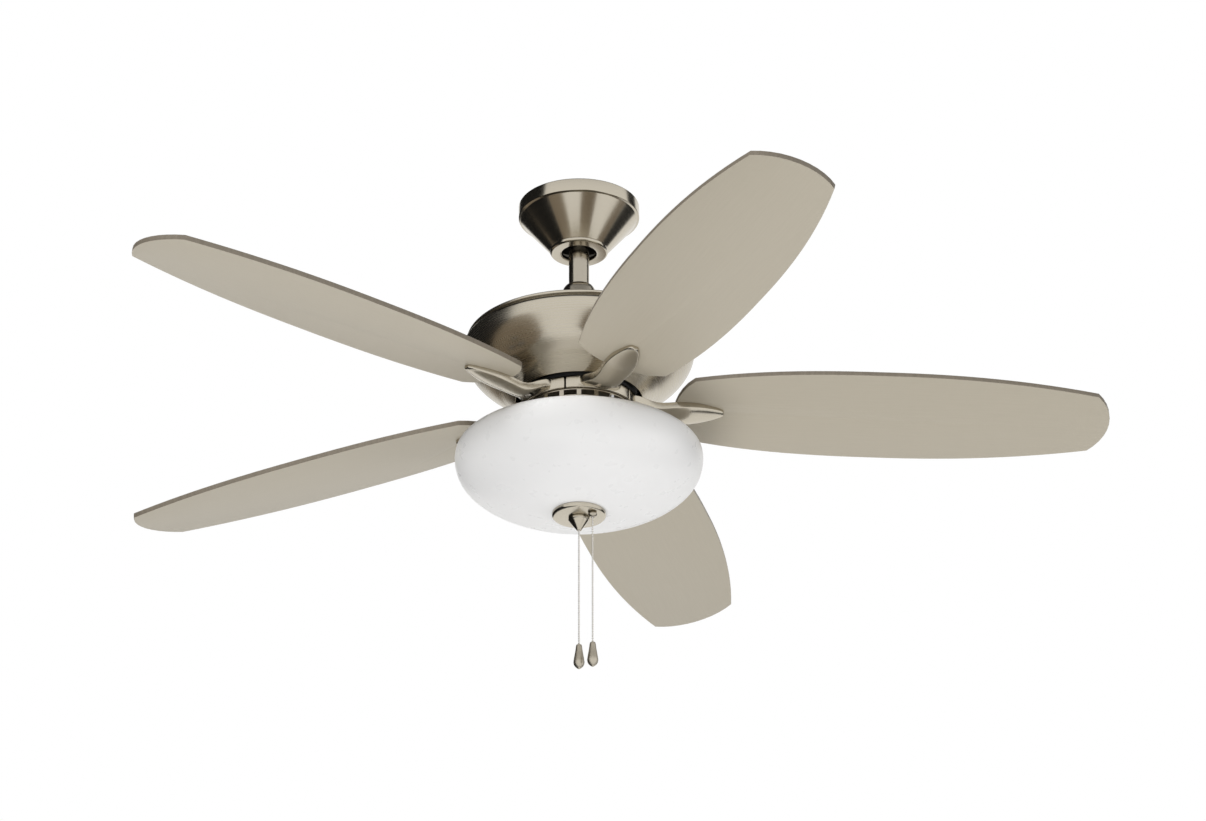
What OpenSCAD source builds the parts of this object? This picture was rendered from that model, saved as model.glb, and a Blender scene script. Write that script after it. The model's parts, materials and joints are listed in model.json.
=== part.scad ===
// Five-blade ceiling fan with a bowl light, hung from a ball in a ceiling bracket.
// The origin is the centre of the bracket's face on the ceiling, +Z up, so the fan hangs below zero.
// Heights with _h count from the plane of the blades' undersides at the fan's axis, up being positive.

/* [Blades] */
// Diameter of the circle that the blade tips sweep
sweep = 1320.8; // [1280:0.4:1340]
// Full width of a blade at its widest
blade_w = 163; // [150:1:170]
// Thickness of a blade
blade_t = 6; // [5:0.5:8]
// Radius where a blade's rounded root begins
blade_root = 118; // [116:1:122]
// Tilt of a blade about its own length
pitch = 11.75; // [8:0.25:13]
// Angle of the third blade from +X
first_angle = 4.14; // [0:0.1:71]

/* [Blade arms] */
// Radius that an arm's tip reaches
arm_tip = 179; // [172:1:190]
// Diameter of the ring that the five arm feet make
ring_d = 145; // [143:1:147]
// Depth of the keel under an arm
keel = 2.6; // [0:0.2:4]

/* [Canopy and rod] */
// Drop from the ceiling to the plane of the blades
drop = 282; // [278:1:320]
// Diameter of the canopy at the ceiling
canopy_d = 151.6; // [146:0.4:160]
// Height of the canopy
canopy_h = 66.6; // [64:0.2:72]
// Outer diameter of the down rod
rod_d = 25.4; // [24:0.2:26.6]

/* [Motor housing] */
// Diameter of the housing's upper rim
rim_d = 279; // [272:1:282]
// Diameter of the housing at its widest
housing_d = 288; // [284:1:300]

/* [Light] */
// Diameter of the glass bowl
bowl_d = 305.4; // [296:0.2:310]
// Depth of the bowl below its widest ring
bowl_h = 81.8; // [76:0.2:86]

/* [Pull chains] */
// Diameter of the bead chain
chain_d = 2.4; // [2:0.2:2.8]
// Travel of a pull switch
pull = 10; // [6:1:12]

/* [Hidden] */
$fn = 96;

blades = 5;
wall = 1.2;             // sheet metal of the canopy and the housing
gap = 0.3;              // play between curved faces that move past each other
run = 0.05;             // play of a running fit

// Canopy, bracket and ball
canopy_r = canopy_d / 2;
band_h = 16.6;          // straight band at the canopy's top
foot_r = 36;            // radius of the canopy's foot
foot_hole = 22;         // radius of the hole that the rod swings in
ball_r = 24;
ball_z = -32;
seat_z = -48;           // underside of the bracket's ball seat
strap_w = 36;           // width of the bracket's strap
slot_pitch = 88.9;      // spacing of the outlet box's screws
slot_w = 5.2;
slot_l = 14;
lug_x = 29;             // canopy screws' distance from the axis
rod_r = rod_d / 2;
rod_bore = rod_r - 2.2;
rod_top = -12;

// Motor housing
rim_h = 91.5;
rim_r = rim_d / 2;
groove_h = 85.5;
bowl_top_h = 80.8;      // height of the housing's widest ring
housing_r = housing_d / 2;
housing_low = 12;       // height that the housing's lower curve runs down to
housing_in = 39;        // radius that the lower curve aims at
mouth_r = 78;           // mouth at the bottom of the housing
mouth_h = 10;
cover_h = 169;          // top of the bell over the coupler
neck_h = 122;           // where the housing's top meets the bell
cover_ring = 24;        // radius of the screws that hold the housing to the coupler
cover_turns = [90, 210, 330];
knob_y = 48;            // reversing knob's distance from the axis

// Motor
shaft_r = 8;
shaft_bore = 6.2;
stator_h = [38, 62];    // lower and upper face of the stator core
motor_h = [22, 78];     // lower and upper face of the rotor's shell
motor_r = 78;
teeth = 12;
race_r = 16;
race_h = 8;
wheel_h = [8.3, 18];    // flywheel

// Arms' ring and what hangs inside it
ring_r = ring_d / 2;
ring_in = 56;
ring_h = [-7.6, 8];
seam = 1.4;             // angle left open between two arm feet
screw_ring = 63;        // radius of the arms' fixing screws

// Switch housing and pan
cup_r = 69;
cup_h = [-17.5, -8.4];
neck_r = 53;
plate_h = 3;
vents = 20;
vent_w = 16.2;
vent_h = [-16.6, -9.6];
floor_h = -17.9;        // floor of the pan, which carries the switches and the lamps
screw_posts = [54, 180, 306];   // posts between two vents that the pan's screws go through
screw_h = -13.1;        // height of those screws, halfway up the vents
lamp_turns = [30, 150, 270];
pan_r = 101;
pan_h = -43;

// Glass bowl
bowl_r = bowl_d / 2;
rim_z = -67.3;          // height of the bowl's widest ring
bowl_low = rim_z - bowl_h;
glass_t = 3.2;
bowl_neck = 97;
bowl_neck_h = -44;
bowl_out = 1.228;       // roundness of the bowl's profile along the radius
bowl_down = 2.67;       // roundness of the bowl's profile along the height

// Finial
cap_r = 33.2;
cap_h = [-149.9, -144.6];
knob_r = 13;
knob_h = [-168, -151.7];

// Pull chains: the routes run from the outlet down to the fob, in the fan's own frame
fan_x = 16.5;
fan_y = -15;
light_route = [[0, 0, -450], [0, 0, -460], [0, 0, -470], [0, 0, -480], [0, 0, -490], [0, 0, -500],
    [0, 0, -510], [0, 0, -520], [0, 0, -530], [0, 0, -540], [0, 0, -550], [0, 0, -560],
    [0, 0, -570], [0, 0, -580], [0, 0, -590], [0, 0, -602]];
fan_route = [[16.5, -15, -438], [16.5, -15, -448], [16.5, -15, -458], [16.5, -15, -468],
    [16.5, -15, -478], [16.5, -15, -488], [16.5, -15, -498], [16.5, -15, -508], [16.5, -15, -518],
    [16.5, -15, -528], [16.5, -15, -538], [16.5, -15, -548], [16.5, -15, -558], [16.5, -15, -568],
    [16.5, -15, -580], [16.5, -15, -592.5], [16.5, -15, -605.5]];
chain_r = chain_d / 2;
fob_l = 32.5;
fob_r = 6.8;
coupling_z = -385;      // bell coupling in the fan's chain
tube_low = -443;        // lower end of the centre tube

function blade_angle(i) = first_angle + 360 / blades * (i + 3);
function lerp(a, b, t) = a + (b - a) * t;
function smooth(t) = let (u = max(0, min(1, t))) u * u * (3 - 2 * u);

// Piecewise straight value of y at x through the points [x, y] of a list
function along(points, x, i = 0) =
    i >= len(points) - 2 || x <= points[i + 1][0]
        ? lerp(points[i][1], points[i + 1][1],
            max(0, min(1, (x - points[i][0]) / (points[i + 1][0] - points[i][0]))))
        : along(points, x, i + 1);

module at_blades() { translate([0, 0, -drop]) children(); }

module spun(points) { rotate_extrude() polygon(points); }

module tube(r_out, r_in, low, high) {
    spun([[r_in, low], [r_out, low], [r_out, high], [r_in, high]]);
}

module pan_screw(head_r, head_l, shank_r, shank_l) {
    spun([[0, 0], [head_r * 0.7, 0], [head_r, head_l * 0.6], [head_r, head_l], [shank_r, head_l],
        [shank_r, head_l + shank_l], [0, head_l + shank_l]]);
}

// Hanger bracket: a strap on the ceiling, two legs, and a seat that opens to one side for the ball
module hanger_bracket() {
    leg_x = 38;
    color("lightsteelblue") difference() {
        union() {
            translate([-60, -strap_w / 2, -2]) cube([120, strap_w, 2]);
            for (side = [-1, 1])
                translate([side * leg_x - 1.25, -strap_w / 2, seat_z + 1]) cube([2.5, strap_w, -seat_z - 2]);
            translate([0, 0, seat_z]) cylinder(r = leg_x + 1.25, h = 3);
            translate([0, 0, seat_z]) cylinder(r = 30, h = 12);
        }
        translate([0, 0, ball_z]) sphere(r = ball_r + gap);
        translate([-rod_r - 3, -60, seat_z - 1]) cube([2 * rod_r + 6, 60, 20]);
        for (side = [-1, 1]) {
            translate([side * slot_pitch / 2 - (slot_l - slot_w) / 2, 0, -3]) cylinder(d = slot_w, h = 4);
            translate([side * slot_pitch / 2 + (slot_l - slot_w) / 2, 0, -3]) cylinder(d = slot_w, h = 4);
            translate([side * slot_pitch / 2 - (slot_l - slot_w) / 2, -slot_w / 2, -3])
                cube([slot_l - slot_w, slot_w, 4]);
        }
    }
}

// Canopy: a spun steel cone with a straight band at the ceiling
module canopy() {
    floor_z = -canopy_h + 4.6;
    color("silver") difference() {
        spun([[canopy_r, -0.2], [canopy_r, -band_h], [canopy_r - 1.6, -band_h - 1.4],
            [foot_r, floor_z], [foot_hole + 1, floor_z], [foot_hole + 1, floor_z + wall],
            [foot_r - 0.9, floor_z + wall], [canopy_r - 3, -band_h - 1.2], [canopy_r - wall, -band_h + 1],
            [canopy_r - wall, -0.2]]);
        for (side = [-1, 1])
            translate([side * lug_x, 0, floor_z - 1]) cylinder(r = 2.2, h = 4);
    }
}

// Trim ring that snaps under the canopy and hides its screws
module canopy_ring() {
    top_z = -canopy_h + 4.6;
    color("silver") difference() {
        spun([[foot_hole, -canopy_h + 0.8], [foot_hole + 0.8, -canopy_h], [foot_r - 1, -canopy_h],
            [foot_r + 0.2, -canopy_h + 1.4], [foot_r + 0.2, top_z], [foot_hole, top_z]]);
        for (side = [-1, 1])
            translate([side * lug_x, 0, top_z - 3.2]) cylinder(r = 4.2, h = 4);
    }
}

module canopy_screws() {
    color("gainsboro") for (side = [-1, 1])
        translate([side * lug_x, 0, -canopy_h + 1.9]) pan_screw(3.6, 2.4, 1.9, 14.8);
}

// Ball on the rod's upper end
module hanger_ball() {
    color("dimgray") difference() {
        translate([0, 0, ball_z]) sphere(r = ball_r);
        translate([0, 0, ball_z - 30]) cylinder(r = rod_r + run, h = 60);
        translate([-30, 0, ball_z]) rotate([0, 90, 0]) cylinder(r = 3.05, h = 60);
    }
}

module down_rod() {
    low = -drop + 131;
    color("silver") difference() {
        translate([0, 0, low]) cylinder(r = rod_r, h = rod_top - low);
        translate([0, 0, low - 1]) cylinder(r = rod_bore, h = rod_top - low + 2);
        translate([-30, 0, ball_z]) rotate([0, 90, 0]) cylinder(r = 3.05, h = 60);
        translate([-30, 0, -drop + 141]) rotate([0, 90, 0]) cylinder(r = 3.05, h = 60);
    }
}

module rod_pin() {
    color("gray") translate([-20, 0, ball_z]) rotate([0, 90, 0]) cylinder(r = 3, h = 40);
}

// Coupler: the yoke on the motor that the rod is pinned in
module coupler() {
    color("gray") at_blades() difference() {
        union() {
            translate([0, 0, 118]) cylinder(r = 17.2, h = 34);
            translate([0, 0, 112]) cylinder(r = 30, h = 6);
        }
        translate([0, 0, 130]) cylinder(r = rod_r + run, h = 30);
        translate([0, 0, 100]) cylinder(r = shaft_r, h = 24);
        translate([0, 0, 100]) cylinder(r = shaft_r - 1, h = 40);
        translate([-30, 0, 141]) rotate([0, 90, 0]) cylinder(r = 3.05, h = 60);
        for (a = cover_turns)
            rotate(a) translate([cover_ring, 0, 110]) cylinder(r = 1.6, h = 10);
    }
}

// Cross pin with the hairpin through its end
module coupler_pin() {
    color("gray") at_blades() translate([0, 0, 141]) {
        translate([-18.5, 0, 0]) rotate([0, 90, 0]) cylinder(r = 3, h = 37);
        translate([-19.6, 0, 0]) rotate([0, 90, 0]) cylinder(r = 3.9, h = 1.6);
    }
}

// Bell over the coupler, hung on the rod
module coupling_cover() {
    color("silver") at_blades() spun([[rod_r + 0.4, cover_h], [15.2, cover_h - 0.4], [18.6, cover_h - 3.6],
        [20.6, cover_h - 8], [21.4, cover_h - 13], [23.5, cover_h - 24], [28, 132], [35.5, neck_h + 1],
        [34.2, neck_h + 1], [26.8, 132], [22.3, cover_h - 24], [20.2, cover_h - 13],
        [19.2, cover_h - 8.4], [17.4, cover_h - 4.6], [14.6, cover_h - 1.6], [rod_r + 0.4, cover_h - 1.2]]);
}

// Upper cover of the motor housing
module housing_top() {
    color("silver") at_blades() difference() {
        spun([[20, 111.6], [31, 111.6], [37, neck_h - 2], [60, neck_h - 6], [92, 109], [118, 99.5],
            [rim_r - 3, rim_h + 0.6], [rim_r - 1.6, rim_h - 0.6], [rim_r - 1.6, rim_h - 4.1],
            [rim_r - 2.8, rim_h - 4.1], [rim_r - 2.8, rim_h - 1.4], [118, 98], [92, 107.4],
            [60, neck_h - 7.6], [38, neck_h - 3.6], [32, 110.2], [20, 110.2]]);
        for (a = cover_turns)
            rotate(a) translate([cover_ring, 0, 105]) cylinder(r = 2.1, h = 12);
        translate([-5, knob_y - 1.6, 105]) cube([10, 3.2, 20]);
    }
}

// Lower bowl of the motor housing, open below where the arms come out
function housing_curve(turn, inset) =
    [housing_in + (housing_r - inset - housing_in) * cos(turn),
        bowl_top_h - (bowl_top_h - housing_low - inset) * sin(turn)];

module housing_shell() {
    outer = [for (turn = [0:6:60]) housing_curve(turn, 0)];
    inner = [for (turn = [60:-6:0]) housing_curve(turn, wall)];
    color("silver") at_blades() spun(concat(
        [[rim_r - 1.2, rim_h], [rim_r, rim_h - 1.2], [rim_r - 1, groove_h + 1], [rim_r - 1.8, groove_h]],
        outer, [[mouth_r + 1, mouth_h], [mouth_r, mouth_h], [mouth_r, mouth_h + wall], [mouth_r + 0.6, mouth_h + wall]],
        inner, [[rim_r - 3.2, groove_h + 0.4], [rim_r - 1.3, groove_h + 1.6], [rim_r - 1.3, rim_h - 0.2]]));
}

module housing_screws() {
    color("gainsboro") at_blades() for (a = cover_turns)
        rotate(a) translate([cover_ring, 0, 107.6]) pan_screw(3.4, 2.6, 1.9, 6.4);
}

// Hollow fixed shaft that carries the motor and the switch housing
module motor_shaft() {
    color("lightgray") at_blades() difference() {
        translate([0, 0, -3]) cylinder(r = shaft_r, h = 127);
        translate([0, 0, -4]) cylinder(r = shaft_bore, h = 129);
    }
}

module stator_core() {
    color("darkgray") at_blades() translate([0, 0, stator_h[0]])
        linear_extrude(stator_h[1] - stator_h[0]) difference() {
            circle(r = 60);
            circle(r = shaft_r);
            for (i = [0:teeth - 1])
                rotate(360 / teeth * (i + 0.5)) translate([34, -4.5]) square([20, 9]);
            for (i = [0:teeth - 1])
                rotate(360 / teeth * (i + 0.5)) translate([53, -1.2]) square([8, 2.4]);
        }
}

module stator_windings() {
    color("chocolate") at_blades() for (i = [0:teeth - 1])
        rotate(360 / teeth * i) for (face = [stator_h[1], stator_h[0] - 6])
            translate([33, -5, face]) cube([19, 10, 6]);
}

// Rotor: a cap, a base and the cage between them
module rotor_cap() {
    color("dimgray") at_blades() spun([[race_r, motor_h[1] - race_h], [race_r + 3, motor_h[1] - race_h],
        [race_r + 3, motor_h[1] - 4], [motor_r - 3.4, motor_h[1] - 4], [motor_r - 3.4, 51],
        [motor_r, 51], [motor_r, motor_h[1] - 6], [motor_r - 6, motor_h[1]], [race_r, motor_h[1]]]);
}

module rotor_base() {
    color("dimgray") at_blades() spun([[race_r, motor_h[0]], [motor_r - 6, motor_h[0]],
        [motor_r, motor_h[0] + 6], [motor_r, 49], [motor_r - 3.4, 49], [motor_r - 3.4, motor_h[0] + 4],
        [race_r + 3, motor_h[0] + 4], [race_r + 3, motor_h[0] + race_h], [race_r, motor_h[0] + race_h]]);
}

module rotor_cage() {
    color("lightslategray") at_blades() union() {
        tube(motor_r - 3.4, 60.8, stator_h[0], stator_h[1]);
        tube(motor_r, 66, 49, 51);
    }
}

module bearings() {
    color("white") at_blades() for (low = [motor_h[0], motor_h[1] - race_h]) {
        tube(race_r, race_r - 2.4, low, low + race_h);
        tube(race_r - 2.4, shaft_r + 2.6, low + 1, low + race_h - 1);
        tube(shaft_r + 2.6, shaft_r + run, low, low + race_h);
    }
}

// Flywheel under the rotor, which the arms are screwed to
module flywheel() {
    color("black") at_blades() difference() {
        union() {
            tube(ring_r - 2, 12, wheel_h[0], wheel_h[0] + 5);
            tube(34, 18, wheel_h[0], motor_h[0]);
        }
        arm_screw_places() translate([0, 0, wheel_h[0] - 1]) cylinder(r = 2, h = 8);
    }
}

module arm_screw_places() {
    for (i = [0:blades - 1], side = [-1, 1])
        rotate(blade_angle(i) + side * 22) translate([screw_ring, 0, 0]) children();
}

// Blade arm: a section across the arm at radius r, as [across, up] points
arm_width = [[66, 27], [73, 26], [80, 22], [88, 18.5], [97, 16.4], [106, 16.2], [115, 17.2], [125, 18.2],
    [136, 18], [147, 16.6], [157, 14.2], [165, 11.6], [172, 8.8], [176.5, 6.2], [179, 3.6]];
arm_top = [[66, 6.5], [76, 5.5], [84, 3.2], [92, 0.6], [100, -0.8], [110, -0.4], [115, 0], [179, 0]];
arm_edge = [[66, -6], [76, -7.6], [86, -9.4], [98, -10.2], [110, -10], [123, -9.2], [140, -7.4],
    [155, -6.4], [168, -5.4], [179, -4.4]];
arm_across = [-1, -0.92, -0.72, -0.45, -0.15, 0.15, 0.45, 0.72, 0.92, 1];
arm_stations = [66, 70, 74, 78, 83, 88, 94, 100, 107, 114, 121, 128, 136, 144, 151, 157, 163, 168, 172,
    175, 177, 179];

function arm_section(r) = let (
        w = along(arm_width, r),
        top = along(arm_top, r),
        edge = along(arm_edge, r),
        sink = keel * smooth((r - 70) / 20) * smooth((arm_tip + 4 - r) / 30))
    concat([[-w, top]],
        [for (u = arm_across) [u * w, edge - sink * (1 - pow(abs(u), 1.7)) + 1.6 * pow(abs(u), 8)]],
        [[w, top]]);

function arm_points() = [for (r = arm_stations) let (tilt = pitch * smooth((r - 72) / 30))
    for (p = arm_section(r)) [r * arm_tip / 179, p[0] * cos(tilt) + p[1] * sin(tilt),
        p[1] * cos(tilt) - p[0] * sin(tilt)]];

// Side faces between rings of n points, closed by a fan at either end
function skin(rings, n) = concat(
    [for (i = [0:rings - 2], j = [0:n - 1]) each
        [[i * n + j, (i + 1) * n + j, (i + 1) * n + (j + 1) % n],
            [i * n + j, (i + 1) * n + (j + 1) % n, i * n + (j + 1) % n]]],
    [for (j = [1:n - 2]) [0, j, j + 1]],
    [for (j = [1:n - 2]) [(rings - 1) * n, (rings - 1) * n + j + 1, (rings - 1) * n + j]]);

module arm_blade() {
    polyhedron(arm_points(), skin(len(arm_stations), len(arm_across) + 2), convexity = 4);
}

module arm(i) {
    turn = 360 / blades - seam;
    color("silver") at_blades() rotate(blade_angle(i)) difference() {
        union() {
            rotate(-turn / 2) rotate_extrude(angle = turn)
                polygon([[ring_in, ring_h[0]], [ring_r - 0.8, ring_h[0]], [ring_r, ring_h[0] + 0.8],
                    [ring_r, ring_h[1] - 0.8], [ring_r - 0.8, ring_h[1]], [ring_in, ring_h[1]]]);
            arm_blade();
        }
        for (side = [-1, 1]) rotate(side * 22) translate([screw_ring, 0, ring_h[0] - 4]) {
            cylinder(r = 2.2, h = 30);
            cylinder(r = 4.4, h = 8);
        }
    }
}

module arm_screws() {
    color("gainsboro") at_blades() arm_screw_places() translate([0, 0, ring_h[0] + 1.4])
        pan_screw(3.8, 2.6, 1.9, 15);
}

// Blade: curved sides, a rounded root and a rounded tip, three holes over the arm
blade_peak = 380;       // radius at which a blade is widest
root_corner = 139.4;
tip_corner = 640.1;
root_cut = 23.1;        // how much narrower than its widest a blade is at its root corner, each side
tip_cut = 28;
root_arc = 93.8;
tip_arc = 80.6;
hole_places = [[136, 10], [136, -10], [157, 0]];

function blade_half(r) = blade_w / 2 - (r < blade_peak
    ? root_cut * pow((blade_peak - r) / (blade_peak - root_corner), 2.6)
    : tip_cut * pow((r - blade_peak) / (tip_corner - blade_peak), 2.2));

function blade_outline() = let (
        reach = sweep / 2,
        root_half = asin(blade_half(root_corner) / root_arc),
        tip_half = asin(blade_half(tip_corner) / tip_arc),
        steps = 24)
    concat(
        [for (k = [0:steps]) let (r = lerp(root_corner, tip_corner + reach - 660.4, k / steps))
            [r, -blade_half(min(r, tip_corner))]],
        [for (k = [1:9]) let (a = tip_half * (k / 5 - 1))
            [reach - tip_arc * (1 - cos(a)), tip_arc * sin(a)]],
        [for (k = [steps:-1:0]) let (r = lerp(root_corner, tip_corner + reach - 660.4, k / steps))
            [r, blade_half(min(r, tip_corner))]],
        [for (k = [1:9]) let (a = root_half * (1 - k / 5))
            [blade_root + root_arc * (1 - cos(a)), root_arc * sin(a)]]);

module pitched(i) { at_blades() rotate(blade_angle(i)) rotate([-pitch, 0, 0]) children(); }

module blade(i) {
    color("tan") pitched(i) linear_extrude(blade_t) difference() {
        polygon(blade_outline());
        for (p = hole_places) translate(p) circle(r = 2.6);
    }
}

module blade_screws() {
    color("gainsboro") for (i = [0:blades - 1]) pitched(i) for (p = hole_places)
        translate([p[0], p[1], blade_t + 3.4]) rotate([180, 0, 0]) pan_screw(4.6, 2.4, 2.2, blade_t + 4.6);
}

module blade_washers() {
    color("black") for (i = [0:blades - 1]) pitched(i) for (p = hole_places)
        translate([p[0], p[1], 0]) tube(6, 2.6, blade_t, blade_t + 1);
}

// Plate on the shaft's lower end that the switch housing hangs from
module switch_plate() {
    color("gray") at_blades() difference() {
        translate([0, 0, -1]) cylinder(r = 48, h = plate_h);
        translate([0, 0, -2]) cylinder(r = shaft_r, h = plate_h + 2);
    }
}

// Switch housing: a stepped cup with a row of vents right under the arms' ring
module switch_housing() {
    color("silver") at_blades() difference() {
        spun([[20, -1], [neck_r, -1], [neck_r, cup_h[1]], [cup_r, cup_h[1]], [cup_r, cup_h[0]],
            [cup_r - wall, cup_h[0]], [cup_r - wall, cup_h[1] - wall], [neck_r - wall, cup_h[1] - wall],
            [neck_r - wall, -1 - wall], [20, -1 - wall]]);
        for (i = [0:vents - 1])
            rotate(360 / vents * (i + 0.5)) translate([cup_r - 3, -vent_w / 2, vent_h[0]])
                cube([6, vent_w, vent_h[1] - vent_h[0]]);
        for (a = screw_posts)
            rotate(a) translate([cup_r - 6, 0, screw_h]) rotate([0, 90, 0]) cylinder(r = 1.3, h = 10);
    }
}

// Pull switch for the fan's speeds, with its neck through the pan's floor
module speed_switch() {
    color("ivory") at_blades() difference() {
        union() {
            translate([fan_x - 7, fan_y - 17, floor_h]) cube([28, 26, 14]);
            translate([fan_x, fan_y, floor_h - 7]) cylinder(r = 4, h = 8);
        }
        translate([fan_x, fan_y, floor_h - 8]) cylinder(r = 2.2, h = 14);
    }
}

// Pull switch for the light, over the centre tube
module light_switch() {
    color("ivory") at_blades() difference() {
        translate([0, 0, floor_h + 2.6]) cylinder(r = 9, h = 11.4);
        translate([0, 0, floor_h + 1]) cylinder(r = 2.2, h = 10);
    }
}

// Reversing switch under the housing's top, with its knob through a slot there
module reverse_switch() {
    color("ivory") at_blades() difference() {
        translate([-10, knob_y - 8, 104]) cube([20, 16, 10.4]);
        translate([-6, knob_y - 1.6, 108]) cube([12, 3.2, 8]);
    }
}

module reverse_knob() {
    color("black") at_blades() translate([0, knob_y, 0]) union() {
        translate([-1.5, -1.2, 108.4]) cube([3, 2.4, 12.6]);
        translate([-3, -2.6, 119.8]) cube([6, 5.2, 2.4]);
    }
}

module capacitor() {
    color("black") at_blades() translate([-30, 16, floor_h]) cube([38, 22, 14]);
}

// Three leads that run down the rod and the hollow shaft, beside the two pins
module lead_wires() {
    color("red") for (side = [-1, 0, 1])
        translate([side * 2.3, 4.25, -drop - 2.6]) cylinder(r = 1.1, h = drop - 4.4, $fn = 24);
}

// Pan that closes the switch housing and carries the light
module fitter_pan() {
    fit_r = cup_r - wall - 0.2;
    color("silver") at_blades() difference() {
        union() {
            spun([[5, floor_h], [cup_r + 0.6, floor_h], [cup_r + 1.6, floor_h - 1.4],
                [pan_r - 6, pan_h + 5.6], [pan_r, pan_h + 2], [pan_r, pan_h], [pan_r - wall, pan_h],
                [pan_r - wall, pan_h + 1.6], [pan_r - 7, pan_h + 4.6], [cup_r, floor_h - wall],
                [5, floor_h - wall]]);
            for (a = screw_posts)
                rotate(a) translate([fit_r - 1.2, -2.6, floor_h - 0.6]) cube([1.2, 5.2, 8]);
        }
        translate([fan_x, fan_y, floor_h - 3]) cylinder(r = 4.2, h = 6);
        for (a = screw_posts)
            rotate(a) translate([cup_r - 6, 0, screw_h]) rotate([0, 90, 0]) cylinder(r = 1.1, h = 5);
    }
}

module pan_screws() {
    color("gainsboro") at_blades() for (a = screw_posts)
        rotate(a) translate([cup_r + 1.6, 0, screw_h]) rotate([0, -90, 0]) pan_screw(2.4, 1.6, 1.1, 4.4);
}

lamp_tilt = 14;

module lamp_frame(a) {
    at_blades() rotate(a) translate([14, 0, -57]) rotate([0, 90 + lamp_tilt, 0]) children();
}

module lamp_holders() {
    color("white") for (a = lamp_turns) lamp_frame(a) difference() {
        union() {
            translate([0, 0, 6]) cylinder(r = 17, h = 28);
        }
        translate([0, 0, 9]) cylinder(r = 13.6, h = 40);
    }
    color("white") at_blades() for (a = lamp_turns)
        rotate(a) translate([22, -6, -45]) cube([4, 12, 45 + floor_h - wall]);
}

module bulbs() {
    color("lightyellow") for (a = lamp_turns) lamp_frame(a) union() {
        translate([0, 0, 12]) cylinder(r = 13, h = 25);
        spun([[0, 36], [14, 36], [17, 46], [22, 60], [23.5, 70], [21.5, 82], [15, 91], [7, 95.4], [0, 96.4]]);
    }
}

module centre_tube() {
    color("gold") difference() {
        translate([0, 0, tube_low]) cylinder(r = 5, h = -drop + floor_h + 2 - tube_low);
        translate([0, 0, tube_low - 1]) cylinder(r = 3, h = -drop + floor_h + 4 - tube_low);
    }
}

// Glass bowl: a rounded rim, a shallow rounded bottom and a flat shoulder up to its neck
function bowl_curve(turn, inset) =
    [(bowl_r - inset) * pow(cos(turn), 2 / bowl_out), rim_z - (bowl_h - inset) * pow(sin(turn), 2 / bowl_down)];

module glass_bowl() {
    hole = 26;
    turns = [0, 4, 9, 15, 22, 30, 38, 46, 53, 60, 65, 69];
    last = len(turns) - 1;
    outer = [for (k = [0:last]) bowl_curve(turns[k], 0)];
    inner = [for (k = [last:-1:0]) bowl_curve(turns[k], glass_t)];
    low = bowl_low + 3.1;
    color("white") at_blades() spun(concat(
        [[bowl_neck + glass_t, bowl_neck_h + 0.6], [bowl_neck + glass_t + 8, bowl_neck_h - 5],
            [bowl_r - 17, rim_z + 15.5], [bowl_r - 7, rim_z + 10.8], [bowl_r - 1.8, rim_z + 5]],
        outer, [[hole, low], [hole, low + glass_t]], inner,
        [[bowl_r - glass_t - 1.8, rim_z + 4], [bowl_r - 9, rim_z + 7.8], [bowl_r - 18, rim_z + 12.2],
            [bowl_neck + 8, bowl_neck_h - 8.4], [bowl_neck, bowl_neck_h - 4], [bowl_neck, bowl_neck_h + 0.6]]));
}

module bowl_gasket() {
    color("white") at_blades() difference() {
        tube(32, 5.4, bowl_low + 8.1, bowl_low + 10.1);
        translate([fan_x, fan_y, bowl_low + 7]) cylinder(r = 2.6, h = 4);
    }
}

// Finial plate: a shallow cup under the glass
module finial_plate() {
    color("silver") at_blades() difference() {
        spun([[5.2, cap_h[0] - 1.8], [20, cap_h[0] - 1.4], [cap_r - 2, cap_h[0] - 0.4], [cap_r, cap_h[0] + 1.2],
            [cap_r, cap_h[1]], [cap_r - 1, cap_h[1]], [cap_r - 1, cap_h[0] + 1.4],
            [cap_r - 2.4, cap_h[0] + 0.6], [20, cap_h[0] - 0.4], [5.2, cap_h[0] - 0.8]]);
        translate([fan_x, fan_y, cap_h[0] - 6]) cylinder(r = 3.1, h = 12);
    }
}

// Finial knob: a cone threaded on the tube, with the light's chain through its tip
module finial_knob() {
    color("silver") at_blades() spun([[1.8, knob_h[0]], [2.9, knob_h[0]], [3.8, knob_h[0] + 1.2],
        [8.4, knob_h[0] + 7.6], [knob_r - 1, knob_h[0] + 12.4], [knob_r, knob_h[0] + 13.8],
        [knob_r, knob_h[1] - 0.6], [knob_r - 0.8, knob_h[1]], [5, knob_h[1]], [5, knob_h[0] + 6.6],
        [1.8, knob_h[0] + 6.6]]);
}

module chain_bushing() {
    color("silver") at_blades() translate([fan_x, fan_y, 0])
        spun([[1.8, -157], [3.2, -157], [5, -155.8], [5.8, -153.8], [5.2, -152], [3, -151.8], [3, -147],
            [1.8, -147]]);
}

// Flexible tube swept along a route: a ring of sides points around each point of the route
function ring_points(route, r, sides) = [for (p = route, k = [0:sides - 1])
    [p[0] + r * cos(360 / sides * k), p[1] - r * sin(360 / sides * k), p[2]]];

module swept(route, r) {
    sides = 8;
    polyhedron(ring_points(route, r, sides), skin(len(route), sides), convexity = 2);
}

module fan_chain() { color("silver") swept(fan_route, chain_r); }

module light_chain() { color("silver") swept(light_route, chain_r); }

// Inner stretch of a chain, from its switch down to the outlet
module inner_chain(x, y, low, high) {
    translate([x, y, low]) cylinder(r = chain_r, h = high - low, $fn = 24);
}

module fan_chain_upper() {
    color("silver") union() {
        inner_chain(fan_x, fan_y, fan_route[0][2], coupling_z - 4);
        inner_chain(fan_x, fan_y, coupling_z + 4, -drop + floor_h + 2);
    }
}

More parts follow.
